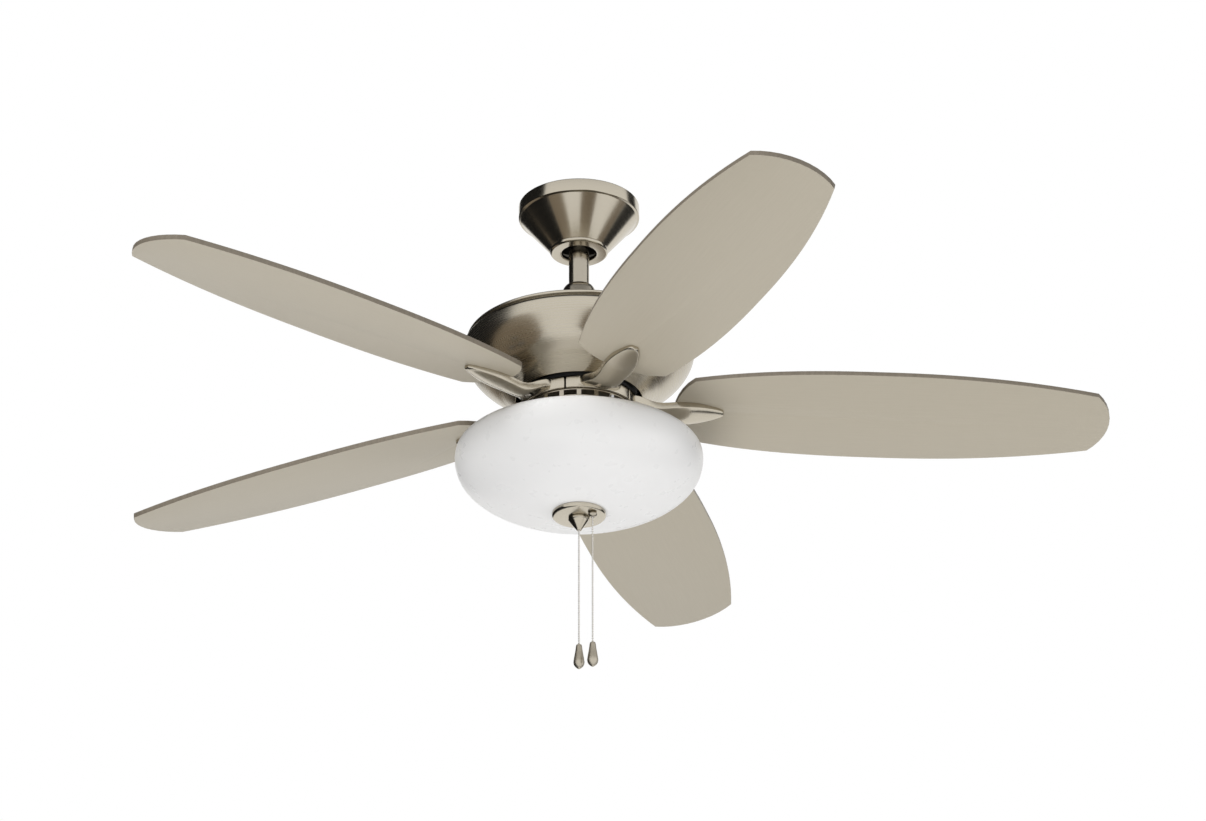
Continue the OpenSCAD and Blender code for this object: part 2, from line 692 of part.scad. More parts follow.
module fan_chain_coupling() {
    color("silver") translate([fan_x, fan_y, coupling_z])
        spun([[0, -4], [2.2, -4], [2.7, -1.5], [2.7, 1.5], [2.2, 4], [0, 4]]);
}

module light_chain_upper() {
    color("silver") inner_chain(0, 0, light_route[0][2], -drop + floor_h + 7);
}

// Fob: a drop with a blunt shoulder above and a small nub below
module fob() {
    spun([[0, 0], [2.2, 0], [3.2, -0.7], [3.7, -2.4], [4.1, -6], [4.8, -10.5], [5.6, -15.2], [6.3, -19.5],
        [fob_r, -23], [6.6, -25.4], [5.6, -27.8], [4, -29.8], [2.2, -31.2], [1.5, -32], [1, -fob_l],
        [0, -fob_l]]);
}

module fan_fob() { color("silver") translate(fan_route[len(fan_route) - 1]) fob(); }

module light_fob() { color("silver") translate(light_route[len(light_route) - 1]) fob(); }

hanger_bracket();
canopy();
canopy_ring();
canopy_screws();
hanger_ball();
down_rod();
rod_pin();
coupler();
coupler_pin();
coupling_cover();
housing_top();
housing_shell();
housing_screws();
motor_shaft();
stator_core();
stator_windings();
rotor_cap();
rotor_base();
rotor_cage();
bearings();
flywheel();
for (i = [0:blades - 1]) {
    arm(i);
    blade(i);
}
arm_screws();
blade_screws();
blade_washers();
switch_plate();
switch_housing();
speed_switch();
light_switch();
reverse_switch();
reverse_knob();
capacitor();
lead_wires();
fitter_pan();
pan_screws();
lamp_holders();
bulbs();
centre_tube();
glass_bowl();
bowl_gasket();
finial_plate();
finial_knob();
chain_bushing();
fan_chain_upper();
fan_chain_coupling();
fan_chain();
fan_fob();
light_chain_upper();
light_chain();
light_fob();
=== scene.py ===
import json
import math

import bpy
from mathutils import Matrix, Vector


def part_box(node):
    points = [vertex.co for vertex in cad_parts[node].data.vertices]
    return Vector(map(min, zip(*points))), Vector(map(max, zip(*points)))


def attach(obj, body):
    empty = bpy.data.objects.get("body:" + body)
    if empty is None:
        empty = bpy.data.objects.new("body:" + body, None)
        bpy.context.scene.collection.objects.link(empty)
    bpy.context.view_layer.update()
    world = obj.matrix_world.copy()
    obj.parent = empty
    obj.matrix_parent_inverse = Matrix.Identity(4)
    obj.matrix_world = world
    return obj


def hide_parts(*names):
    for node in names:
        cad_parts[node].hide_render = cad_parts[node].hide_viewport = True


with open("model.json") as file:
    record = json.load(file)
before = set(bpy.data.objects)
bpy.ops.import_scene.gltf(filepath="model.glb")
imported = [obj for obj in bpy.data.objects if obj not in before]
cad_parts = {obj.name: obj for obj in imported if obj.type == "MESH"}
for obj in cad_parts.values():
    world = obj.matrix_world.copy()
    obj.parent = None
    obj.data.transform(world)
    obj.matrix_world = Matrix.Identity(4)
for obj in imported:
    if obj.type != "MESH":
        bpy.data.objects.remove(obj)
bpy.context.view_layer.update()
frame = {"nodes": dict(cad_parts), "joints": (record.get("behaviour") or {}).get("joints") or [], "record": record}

mm = 0.001
joinDistance = 0.00001  # metres, for merging doubled points
nodes = frame["nodes"]
slotOf = {part["node"]: part["material_slot"] for part in frame["record"]["subparts"]}
rotorJoint = next(j for j in frame["joints"] if j["name"] == "rotor_spin")
bladePlane = rotorJoint["pos_m"][2]  # height of the blades' undersides at the axis
bladeCount = 5
print("frame loaded,", len(nodes), "nodes")


camera = {
    "distance": 6.336,
    "below": 26.716,  # degrees that the camera looks up
    "lens": 153.2,
    "shift": (0.0199, -0.0025),
}


def addCamera():
    tilt = math.radians(camera["below"])
    place = (0, -camera["distance"] * math.cos(tilt), bladePlane - camera["distance"] * math.sin(tilt))
    bpy.ops.object.camera_add(location=place, rotation=(math.radians(90) + tilt, 0, 0))
    view = bpy.context.object
    view.name = "viewCamera"
    view.data.lens = camera["lens"]
    view.data.shift_x, view.data.shift_y = camera["shift"]
    view.data.clip_end = 40
    bpy.context.scene.camera = view


def clearSelection():
    bpy.ops.object.select_all(action="DESELECT")


def selectOnly(piece):
    clearSelection()
    bpy.context.view_layer.objects.active = piece
    piece.select_set(True)


def rounded(corners, steps=4, closed=False):
    # corners are (radius, height) or (radius, height, fillet): a fillet turns its corner into a curve
    line = []
    last = len(corners) - 1
    for i, (radius, height, *fillet) in enumerate(corners):
        here = Vector((radius, height))
        if not fillet or (not closed and i in (0, last)):
            line.append((radius, height))
            continue
        before = Vector(corners[i - 1][:2]) - here
        after = Vector(corners[(i + 1) % len(corners)][:2]) - here
        start = here + before.normalized() * min(fillet[0], before.length * 0.5)
        end = here + after.normalized() * min(fillet[0], after.length * 0.5)
        for k in range(steps + 1):
            t = k / steps
            line.append(tuple(start * (1 - t) ** 2 + here * (2 * t * (1 - t)) + end * t ** 2))
    return line


def turned(name, profile, segments=160, base=0.0, axis=(0, 0), closed=True, smooth=40):
    # a ring of edges drawn out through (radius, height) in millimetres, as on a lathe
    rings = [(max(radius, 0.004) * mm, base + height * mm) for radius, height in profile]
    if closed:
        rings.append(rings[0])
    clearSelection()
    radius, height = rings[0]
    bpy.ops.mesh.primitive_circle_add(vertices=segments, radius=radius, location=(*axis, height))
    piece = bpy.context.object
    piece.name = name
    bpy.ops.object.transform_apply()
    bpy.ops.object.mode_set(mode="EDIT")
    bpy.ops.mesh.select_all(action="SELECT")
    for nextRadius, nextHeight in rings[1:]:
        bpy.ops.mesh.extrude_edges_move(TRANSFORM_OT_translate={"value": (0, 0, nextHeight - height)})
        share = nextRadius / radius
        bpy.ops.transform.resize(value=(share, share, 1), center_override=(*axis, 0))
        radius, height = nextRadius, nextHeight
    bpy.ops.mesh.select_all(action="SELECT")
    bpy.ops.mesh.remove_doubles(threshold=joinDistance)
    bpy.ops.mesh.normals_make_consistent(inside=False)
    bpy.ops.object.mode_set(mode="OBJECT")
    bpy.ops.object.shade_smooth_by_angle(angle=math.radians(smooth))
    return piece


def copyOf(node, name):
    # a free copy of a CAD node, with its loose triangles joined up
    clearSelection()
    piece = nodes[node].copy()
    piece.data = nodes[node].data.copy()
    bpy.context.scene.collection.objects.link(piece)
    piece.name = name
    piece.parent = None
    for key in list(piece.keys()):
        del piece[key]
    bpy.context.view_layer.objects.active = piece
    piece.select_set(True)
    bpy.ops.object.mode_set(mode="EDIT")
    bpy.ops.mesh.select_all(action="SELECT")
    bpy.ops.mesh.remove_doubles(threshold=joinDistance)
    bpy.ops.mesh.dissolve_limited(angle_limit=math.radians(0.5))
    bpy.ops.object.mode_set(mode="OBJECT")
    return piece


def rounder(piece, width, segments=3, angle=40):
    # rounds a piece's sharp edges
    selectOnly(piece)
    edge = piece.modifiers.new("edges", "BEVEL")
    edge.width = width * mm
    edge.segments = segments
    edge.limit_method = "ANGLE"
    edge.angle_limit = math.radians(angle)
    edge.miter_outer = "MITER_ARC"
    bpy.ops.object.modifier_apply(modifier=edge.name)
    bpy.ops.object.shade_smooth_by_angle(angle=math.radians(angle))


def place(piece, body, material, *replaced):
    # gives a finished piece its material, its body and the nodes that it stands for
    piece.data.materials.clear()
    piece.data.materials.append(material)
    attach(piece, body)
    if replaced:
        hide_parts(*replaced)


def turnAbout(piece, angle):
    # turns a finished piece about the fan's axis, in its mesh
    selectOnly(piece)
    piece.rotation_euler = (0, 0, angle)
    bpy.ops.object.transform_apply()


class Shader:
    # a principled material with a few nodes before it
    def __init__(self, name, color, metallic=0.0, roughness=0.5, **more):
        self.material = bpy.data.materials.new(name)
        self.material.use_nodes = True
        self.tree = self.material.node_tree
        self.out = self.tree.nodes["Principled BSDF"]
        self.set("Base Color", (*color, 1))
        self.set("Metallic", metallic)
        self.set("Roughness", roughness)
        for socket, value in more.items():
            self.set(socket.replace("_", " "), value)

    def set(self, socket, value):
        self.out.inputs[socket].default_value = value

    def node(self, kind, settings=None, **inputs):
        made = self.tree.nodes.new("ShaderNode" + kind)
        for key, value in (settings or {}).items():
            setattr(made, key, value)
        for key, value in inputs.items():
            socket = made.inputs[key.replace("_", " ")]
            if hasattr(value, "is_output"):
                self.tree.links.new(value, socket)
            else:
                socket.default_value = value
        return made

    def link(self, value, socket):
        self.tree.links.new(value, self.out.inputs[socket])

    def noise(self, where, scale, detail=3.0):
        return self.node("TexNoise", Vector=where, Scale=scale, Detail=detail).outputs["Fac"]

    def spread(self, value, low, high, fromLow=0.3, fromHigh=0.7):
        made = self.node("MapRange", Value=value, From_Min=fromLow, From_Max=fromHigh, To_Min=low, To_Max=high)
        return made.outputs["Result"]

    def mix(self, value, first, second):
        made = self.node("Mix", {"data_type": "RGBA"})
        self.tree.links.new(value, made.inputs["Factor"])
        made.inputs[6].default_value = (*first, 1)
        made.inputs[7].default_value = (*second, 1)
        return made.outputs[2]

    def bump(self, value, strength, distance):
        made = self.node("Bump", Strength=strength, Distance=distance * mm, Height=value)
        self.link(made.outputs["Normal"], "Normal")

    def coords(self, kind="Object"):
        return self.node("TexCoord").outputs[kind]

    def stretched(self, where, scale):
        return self.node("Mapping", Vector=where, Scale=scale).outputs["Vector"]

    def around(self):
        # distance from the fan's axis and height, so that lines run round a turned piece
        split = self.node("SeparateXYZ", Vector=self.coords())
        flat = self.node("CombineXYZ", X=split.outputs["X"], Y=split.outputs["Y"])
        length = self.node("VectorMath", {"operation": "LENGTH"})
        self.tree.links.new(flat.outputs[0], length.inputs[0])
        return self.node("CombineXYZ", X=length.outputs["Value"], Z=split.outputs["Z"]).outputs[0]


nickel = {
    "color": (0.57, 0.525, 0.44),
    "dark": (0.54, 0.495, 0.41),
    "tube": (0.47, 0.43, 0.36),
    "roughness": (0.17, 0.23),
    "housingRougher": 0.06,
    "lines": 1100,
    "grain": 0.02,
}


def nickelFrom(shader, where, rougher=0.0):
    # fine lines in the tone, gloss and surface of a nickel finish
    low, high = nickel["roughness"]
    fine = shader.noise(where, nickel["lines"], 2.0)
    shader.link(shader.spread(fine, low + rougher, high + rougher), "Roughness")
    shader.link(shader.mix(shader.spread(fine, 0, 1), nickel["dark"], nickel["color"]), "Base Color")
    shader.bump(fine, nickel["grain"], 0.05)
    return shader.material


def turnedNickel():
    shader = Shader("turnedNickel", nickel["color"], metallic=1.0, roughness=0.2, Anisotropic=0.6,
                    Anisotropic_Rotation=0.25)
    return nickelFrom(shader, shader.around())


def housingNickel():
    # the housing's finish blurs round the axis and is a little duller
    shader = Shader("housingNickel", nickel["color"], metallic=1.0, roughness=0.3, Anisotropic=0.4)
    return nickelFrom(shader, shader.around(), nickel["housingRougher"])


def castNickel():
    shader = Shader("castNickel", nickel["color"], metallic=1.0, roughness=0.3)
    return nickelFrom(shader, shader.stretched(shader.coords("UV"), (0.06, 1, 1)))


def plainNickel():
    shader = Shader("plainNickel", nickel["tube"], metallic=1.0, roughness=0.22)
    fine = shader.noise(shader.stretched(shader.coords(), (1, 1, 0.08)), 1800)
    shader.link(shader.spread(fine, 0.16, 0.26), "Roughness")
    shader.bump(fine, nickel["grain"], 0.04)
    return shader.material


def satinNickel():
    shader = Shader("satinNickel", nickel["color"], metallic=1.0, roughness=0.42)
    shader.link(shader.spread(shader.noise(shader.coords(), 700), 0.38, 0.48), "Roughness")
    return shader.material


def beadNickel():
    shader = Shader("beadNickel", (0.83, 0.81, 0.77), metallic=1.0, roughness=0.22)
    worn = shader.noise(shader.coords(), 900)
    shader.link(shader.spread(worn, 0.16, 0.34), "Roughness")
    return shader.material


blade = {
    "foil": (0.490, 0.445, 0.360),
    "foilDark": (0.473, 0.429, 0.345),
    "walnut": (0.195, 0.158, 0.115),
    "walnutLight": (0.300, 0.247, 0.185),
    # a dark brown painted on the blades' edges: painted shade and painted reflection in place of the edges' own foil
    # colour
    "paintedEdgeShade": (0.21, 0.18, 0.14),
    "pitch": 11.75,
}


def bladeFoil():
    shader = Shader("bladeFoil", blade["foil"], roughness=0.42, Specular_IOR_Level=0.42)
    where = shader.coords("UV")
    grain = shader.noise(shader.stretched(where, (3, 90, 1)), 6.0, 5.0)
    fleck = shader.noise(where, 900, 2.0)
    shader.link(shader.mix(shader.spread(grain, 0, 1), blade["foilDark"], blade["foil"]), "Base Color")
    shader.link(shader.spread(fleck, 0.36, 0.50), "Roughness")
    shader.bump(fleck, 0.05, 0.05)
    return shader.material


def bladeWalnut():
    shader = Shader("bladeWalnut", blade["walnut"], roughness=0.38, Specular_IOR_Level=0.45)
    where = shader.coords("UV")
    bend = shader.noise(shader.stretched(where, (2.2, 9, 1)), 1.5, 2.0)
    wave = shader.node("TexWave", {"wave_type": "BANDS", "bands_direction": "Y"},
                       Vector=shader.stretched(where, (2.0, 22, 1)), Scale=1.2, Distortion=5.0, Detail=3.0)
    pore = shader.noise(shader.stretched(where, (14, 420, 1)), 4.0, 4.0)
    both = shader.node("Math", {"operation": "MULTIPLY_ADD"})
    shader.tree.links.new(wave.outputs["Fac"], both.inputs[0])
    both.inputs[1].default_value = 0.6
    shader.tree.links.new(bend, both.inputs[2])
    shader.link(shader.mix(shader.spread(both.outputs[0], 0, 1, 0.3, 1.2), blade["walnut"], blade["walnutLight"]),
                "Base Color")
    shader.link(shader.spread(pore, 0.34, 0.5), "Roughness")
    shader.bump(pore, 0.12, 0.08)
    return shader.material


# painted shade: the blades' edges get this dark brown, which stands for the shade and dark reflection along them,
# with a fine random change of tone
def paintedEdgeShade():
    shader = Shader("paintedEdgeShade", blade["paintedEdgeShade"], roughness=0.4)
    line = shader.noise(shader.stretched(shader.coords("UV"), (8, 8, 1)), 30)
    shader.link(shader.mix(shader.spread(line, 0, 1), blade["paintedEdgeShade"], (0.25, 0.215, 0.17)), "Base Color")
    return shader.material


def opalGlass():
    shader = Shader("opalGlass", (0.9, 0.9, 0.9), roughness=0.3)
    cloud = shader.noise(shader.coords(), 9, 2.0)
    shader.link(shader.mix(shader.spread(cloud, 0, 1), (0.865, 0.865, 0.87), (0.885, 0.885, 0.885)), "Base Color")
    shader.link(shader.spread(shader.noise(shader.coords(), 60), 0.26, 0.34), "Roughness")
    return shader.material


def speckled(name, color, other, metallic, low, high, scale=300, strength=0.08, stretch=(1, 1, 1)):
    # a plain finish with a fine change of tone, gloss and surface
    shader = Shader(name, color, metallic=metallic, roughness=low)
    fine = shader.noise(shader.stretched(shader.coords(), stretch), scale)
    shader.link(shader.mix(shader.spread(fine, 0, 1), color, other), "Base Color")
    shader.link(shader.spread(fine, low, high), "Roughness")
    shader.bump(fine, strength, 0.1)
    return shader.material


def slotMaterials():
    # a material for each slot that CAD nodes use
    return {
        "brushed_nickel": plainNickel(),
        "zinc_steel": speckled("zincSteel", (0.56, 0.57, 0.59), (0.66, 0.67, 0.68), 1, 0.3, 0.46, 160),
        "pan_enamel": speckled("panEnamel", (0.80, 0.79, 0.76), (0.83, 0.82, 0.79), 0, 0.25, 0.34, 400, 0.03),
        "cast_metal": speckled("castMetal", (0.13, 0.13, 0.13), (0.18, 0.18, 0.18), 1, 0.5, 0.65, 500, 0.2),
        "core_steel": speckled("coreSteel", (0.20, 0.20, 0.21), (0.33, 0.33, 0.34), 1, 0.4, 0.6, 1400, 0.2,
                               (0.05, 0.05, 1)),
        "winding_copper": speckled("windingCopper", (0.55, 0.22, 0.09), (0.7, 0.33, 0.15), 1, 0.25, 0.4, 1200, 0.4),
        "black_rubber": speckled("blackRubber", (0.02, 0.02, 0.02), (0.04, 0.04, 0.04), 0, 0.6, 0.75, 700, 0.2),
        "blade_finish": bladeFoil(),
        "switch_plastic": speckled("switchPlastic", (0.78, 0.76, 0.7), (0.82, 0.8, 0.74), 0, 0.4, 0.5, 500),
        "black_plastic": speckled("blackPlastic", (0.025, 0.025, 0.027), (0.04, 0.04, 0.042), 0, 0.35, 0.5, 600),
        "lead_insulation": speckled("leadInsulation", (0.42, 0.03, 0.02), (0.5, 0.05, 0.03), 0, 0.35, 0.45, 400),
        "porcelain": speckled("porcelain", (0.86, 0.85, 0.81), (0.89, 0.88, 0.85), 0, 0.12, 0.2, 200, 0.03),
        "bulb_glass": speckled("bulbGlass", (0.9, 0.89, 0.85), (0.93, 0.92, 0.89), 0, 0.3, 0.4, 300, 0.03),
        "tube_brass": speckled("tubeBrass", (0.72, 0.52, 0.24), (0.8, 0.6, 0.3), 1, 0.25, 0.4, 900, 0.2,
                               (0.1, 0.1, 1)),
        "opal_glass": opalGlass(),
        "gasket_rubber": speckled("gasketRubber", (0.76, 0.76, 0.74), (0.8, 0.8, 0.78), 0, 0.6, 0.7, 500),
        "bead_chain": beadNickel(),
    }


chain = {
    "bead": 1.2,  # radius
    "pitch": 3.1,
    "wire": 0.45,
    "step": 10,
    "light": (0, 0, -450),
    "fan": (16.5, -15, -438),
}


def routeDown(outlet, fob):
    # points from a chain's outlet straight down to the top of its fob
    x, y, top = outlet
    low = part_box(fob)[1].z
    steps = round((top * mm - low) / (chain["step"] * mm))
    return [(x * mm, y * mm, top * mm + (low - top * mm) * k / steps) for k in range(steps + 1)]


def beadChain(name, route, body, material, replaced):
    # one bead with its stub of wire, repeated down the route
    start, end = Vector(route[0]), Vector(route[-1])
    length = (end - start).length
    count = round(length / (chain["pitch"] * mm))
    pitch = length / count
    clearSelection()
    bpy.ops.mesh.primitive_uv_sphere_add(segments=12, ring_count=8, radius=chain["bead"] * mm,
                                         location=start - Vector((0, 0, pitch / 2)))
    piece = bpy.context.object
    piece.name = name
    bpy.ops.mesh.primitive_cylinder_add(vertices=8, radius=chain["wire"] * mm, depth=pitch,
                                        location=start - Vector((0, 0, pitch / 2)), end_fill_type="NOTHING")
    piece.select_set(True)
    bpy.context.view_layer.objects.active = piece
    bpy.ops.object.join()
    bpy.ops.object.transform_apply()
    row = piece.modifiers.new("row", "ARRAY")
    row.use_relative_offset = False
    row.use_constant_offset = True
    row.constant_offset_displace = (0, 0, -pitch)
    row.count = count
    bpy.ops.object.modifier_apply(modifier=row.name)
    bpy.ops.object.mode_set(mode="EDIT")
    bpy.ops.mesh.select_all(action="SELECT")
    bpy.ops.mesh.remove_doubles(threshold=joinDistance)
    bpy.ops.object.mode_set(mode="OBJECT")
    bpy.ops.object.shade_smooth()
    place(piece, body, material, replaced)


fobShape = {
    "corners": [(0, -0.1), (2.0, -0.1, 0.8), (3.3, -0.9, 0.9), (3.8, -3, 1), (4.2, -7), (4.9, -11.5),
                (5.6, -15.5), (6.3, -19.8, 1.5), (6.8, -23.2, 2), (6.5, -26, 2), (5.4, -28.4, 1.5),
                (3.6, -30.4, 1), (2.0, -31.4, 0.6), (1.5, -32.1, 0.4), (0, -32.5)],
}


def dropFob(name, end, body, material, replaced):
    # a hanging drop with a collar at its neck and a nub under it
    piece = turned(name, rounded(fobShape["corners"]), 48, end[2], end[:2], closed=False)
    place(piece, body, material, replaced)
    return piece


canopyShape = {
    "wall": 1.2,
    "band": 16.4,  # height of the straight band at the ceiling
    "step": 3.0,  # how far the cone starts inside the band
    "ledge": 13,  # width of the foot inside the cone
    "ringWidth": 14.2,
}


def canopy(material):
    low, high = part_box("canopy")
    top, foot, radius = high.z / mm, low.z / mm, high.x / mm
    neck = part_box("canopy_ring")[1].x / mm
    hole = neck - canopyShape["ledge"]
    band, wall, step = canopyShape["band"], canopyShape["wall"], canopyShape["step"]
    outer = [(radius - wall, top), (radius - 0.4, top, 0.3), (radius, top - 0.6, 0.4), (radius, -band, 0.7),
             (radius - step, -band - 1.3, 0.7), (neck - 0.2, foot, 0.6)]
    inner = [(hole, foot), (hole, foot + wall), (neck - 1, foot + wall, 0.6),
             (radius - step - wall, -band - 0.6, 0.6), (radius - wall, -band + 1.0, 0.6)]
    piece = turned("canopy_shell", rounded(outer + inner, closed=True))
    place(piece, "ceiling_mount", material, "canopy")


def canopyRing(material):
    low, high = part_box("canopy_ring")
    top, foot, radius = high.z / mm, low.z / mm, high.x / mm
    hole = radius - canopyShape["ringWidth"]
    corners = [(hole, top - 0.2), (hole, foot + 0.4, 0.4), (hole + 1.2, foot, 0.5), (radius - 2.2, foot, 0.7),
               (radius, foot + 1.6, 1.0), (radius, top - 0.1, 0.3)]
    piece = turned("canopy_trim_ring", rounded(corners, closed=True))
    place(piece, "ceiling_mount", material, "canopy_ring")


def bellCover(material):
    low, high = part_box("coupling_cover")
    top, foot, flare = high.z / mm, low.z / mm, high.x / mm
    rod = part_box("down_rod")[1].x / mm
    outer = [(rod + 0.4, top - 0.5), (rod + 1.5, top, 0.5), (17.6, top - 1.6, 1.6), (20.2, top - 6, 2),
             (21.4, top - 13, 3), (23.0, top - 23, 5), (27.4, top - 36, 6), (flare, foot + 0.8, 0.8)]
    inner = [(flare - 0.8, foot, 0.3), (flare - 2.2, foot + 0.8, 0.6), (26.0, top - 36, 5), (21.6, top - 23, 5),
             (19.8, top - 13, 3), (18.4, top - 7, 2), (rod + 0.4, top - 2.2)]
    piece = turned("bell_cover", rounded(outer + inner, closed=True), 112)
    place(piece, "hanging_body", material, "coupling_cover")


housing = {
    "groove": (136.2, 85.6),  # radius and height over the blades' plane
    "widest": 80.8,
    "aim": (39, 12),  # the lower curve runs towards this radius and height
    "turn": 57,  # degrees of the curve that are used
    "mouth": (79, 10),
    "wall": 1.2,
    "slot": (10, 3.2, 20),  # cutter for the reversing knob's slot
}


def housingCurve(angle, inset):
    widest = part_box("housing_shell")[1].x / mm - inset
    aimRadius, aimHeight = housing["aim"]
    a = math.radians(angle)
    rise = housing["widest"] - aimHeight - inset
    return (aimRadius + (widest - aimRadius) * math.cos(a), housing["widest"] - rise * math.sin(a))


def housingShell(material):
    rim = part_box("housing_top")[1].x / mm + 1.6
    top = (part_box("housing_shell")[1].z - bladePlane) / mm
    grooveRadius, grooveHeight = housing["groove"]
    mouthRadius, mouthHeight = housing["mouth"]
    widest = housingCurve(0, 0)[0]
    steps = range(6, housing["turn"] + 1, 3)
    outer = [(rim - 1.3, top - 0.2, 0.4), (rim - 0.5, top, 0.4), (rim + 0.2, top - 0.8, 0.6),
             (rim - 0.2, top - 3.4, 0.8), (grooveRadius, grooveHeight + 1.0, 0.4),
             (grooveRadius, grooveHeight - 0.6, 0.4), (widest - 3.0, grooveHeight - 1.6, 1.2),
             (widest, housing["widest"], 2.0)]
    curve = [housingCurve(a, 0) for a in steps]
    back = [housingCurve(a, housing["wall"]) for a in reversed(steps)]
    lip = [(mouthRadius, mouthHeight, 0.4), (mouthRadius - 1, mouthHeight + 0.2, 0.3),
           (mouthRadius - 1, mouthHeight + 1.4, 0.3)]
    inner = [(widest - 4.4, grooveHeight - 2.9, 0.8), (grooveRadius - 1.1, grooveHeight, 0.5),
             (rim - 1.3, top - 4, 0.5)]
    piece = turned("housing_bowl", rounded(outer + curve + lip + back + inner, closed=True), 192, bladePlane)
    place(piece, "hanging_body", material, "housing_shell")


def housingTop(material):
    # keeps the slot of the reversing knob by a cut through the turned cover
    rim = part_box("housing_top")[1].x / mm
    corners = [(20, 111.6), (30.5, 111.6, 1), (36.5, 120.2, 2.4), (60, 116.2, 12), (92, 109, 14), (118, 99.8, 12),
               (rim - 1.4, 92.2, 1), (rim, 90.8, 0.6), (rim, 87.6), (rim - 1.2, 87.6), (rim - 1.2, 90.2, 0.6),
               (118, 98.4, 12), (92, 107.6, 14), (60, 114.8, 12), (37.4, 118.6, 2), (31.6, 110.2, 1), (20, 110.2)]
    piece = turned("housing_cover", rounded(corners, closed=True), 176, bladePlane)
    knobLow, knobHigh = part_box("reverse_knob")
    middle = (knobLow + knobHigh) / 2
    clearSelection()
    bpy.ops.mesh.primitive_cube_add(size=1, location=(middle.x, middle.y, knobHigh.z - 0.01))
    cutter = bpy.context.object
    cutter.scale = [side * mm for side in housing["slot"]]
    bpy.ops.object.transform_apply()
    selectOnly(piece)
    cut = piece.modifiers.new("slot", "BOOLEAN")
    cut.operation = "DIFFERENCE"
    cut.object = cutter
    bpy.ops.object.modifier_apply(modifier=cut.name)
    bpy.data.objects.remove(cutter)
    bpy.ops.object.shade_smooth_by_angle(angle=math.radians(40))
    place(piece, "hanging_body", material, "housing_top")


arm = {
    "foot": (56, 72.4),
    "footHeight": (-7.6, 8),
    "seam": 1.4,
    # distance from the axis, half width, height of the top, full depth
    "stations": [(66, 27, 6.5, 12.5), (70, 26.6, 6, 13.0), (74, 25.6, 5.5, 13.3), (79, 22.8, 4.5, 13.8),
                 (84, 20.2, 3.2, 14.4), (89, 18.3, 1.4, 13.8), (95, 16.9, -0.2, 13.2), (102, 16.3, -0.7, 12.8),
                 (110, 16.6, -0.3, 12.8), (119, 17.7, 0, 12.8), (128, 18.2, 0, 12.4), (138, 17.9, 0, 11.4),
                 (147, 16.7, 0, 10.3), (155, 14.8, 0, 9.2), (162, 12.6, 0, 8.1), (168, 10.4, 0, 7.1),
                 (173, 8.3, 0, 6.2), (177, 5.9, 0, 5.4), (179, 3.7, 0, 4.7)],
    "belly": 0.32,  # share of the depth that the rounded underside takes
    "tiltFrom": 72,
    "tiltOver": 30,
}


def smoothStep(t):
    t = max(0, min(1, t))
    return t * t * (3 - 2 * t)


def selectWhere(piece, test):
    # selects the vertices of a piece in edit mode that pass a test on their place
    bpy.ops.mesh.select_all(action="DESELECT")
    bpy.ops.object.mode_set(mode="OBJECT")
    for vertex in piece.data.vertices:
        vertex.select = test(vertex.co)
    bpy.ops.object.mode_set(mode="EDIT")
    bpy.context.tool_settings.mesh_select_mode = (True, False, False)


def armPetal():
    # a section across the arm, drawn out from the hub to the tip
    first = arm["stations"][0]
    clearSelection()
    bpy.ops.mesh.primitive_grid_add(x_subdivisions=8, y_subdivisions=1, size=1, location=(first[0] * mm, 0, 0),
                                    rotation=(math.radians(90), 0, math.radians(90)))
    piece = bpy.context.object
    piece.name = "petal"
    bpy.ops.object.transform_apply()
    bpy.ops.object.mode_set(mode="EDIT")
    bpy.ops.mesh.select_all(action="SELECT")
    bpy.ops.transform.resize(value=(1, 2 * first[1] * mm, first[3] * mm), center_override=(0, 0, 0))
    bpy.ops.transform.translate(value=(0, 0, (first[2] - first[3] / 2) * mm))
    bottom = (first[2] - first[3]) * mm
    for share in (1.0, 0.75, 0.5, 0.25):
        # lifts the bottom's outer points, which rounds the underside
        lift = arm["belly"] * first[3] * mm * share ** 2
        edge = share * first[1] * mm
        selectWhere(piece, lambda co: co.z < bottom + 0.0001 and abs(abs(co.y) - edge) < 0.0004)
        bpy.ops.transform.translate(value=(0, 0, lift))
    selectWhere(piece, lambda co: abs(co.y) > first[1] * mm * 0.99 and co.z < 0)
    bpy.ops.transform.resize(value=(1, 0.955, 1), center_override=(0, 0, 0))
    bpy.ops.mesh.select_all(action="SELECT")
    before = first
    for station in arm["stations"][1:]:
        far, width, top, depth = station
        bpy.ops.mesh.extrude_region_move(TRANSFORM_OT_translate={"value": ((far - before[0]) * mm, 0, 0)})
        bpy.ops.transform.resize(value=(1, width / before[1], depth / before[3]),
                                 center_override=(far * mm, 0, before[2] * mm))
        bpy.ops.transform.translate(value=(0, 0, (top - before[2]) * mm))
        before = station
    for station in arm["stations"]:
        tilt = math.radians(blade["pitch"]) * smoothStep((station[0] - arm["tiltFrom"]) / arm["tiltOver"])
        if tilt > 0:
            selectWhere(piece, lambda co: abs(co.x - station[0] * mm) < 0.0003)
            bpy.ops.transform.rotate(value=tilt, orient_axis="X", center_override=(station[0] * mm, 0, 0))
    bpy.ops.mesh.select_all(action="SELECT")
    bpy.ops.mesh.normals_make_consistent(inside=False)
    bpy.ops.object.mode_set(mode="OBJECT")
    rounder(piece, 1.3, 4, 38)
    return piece


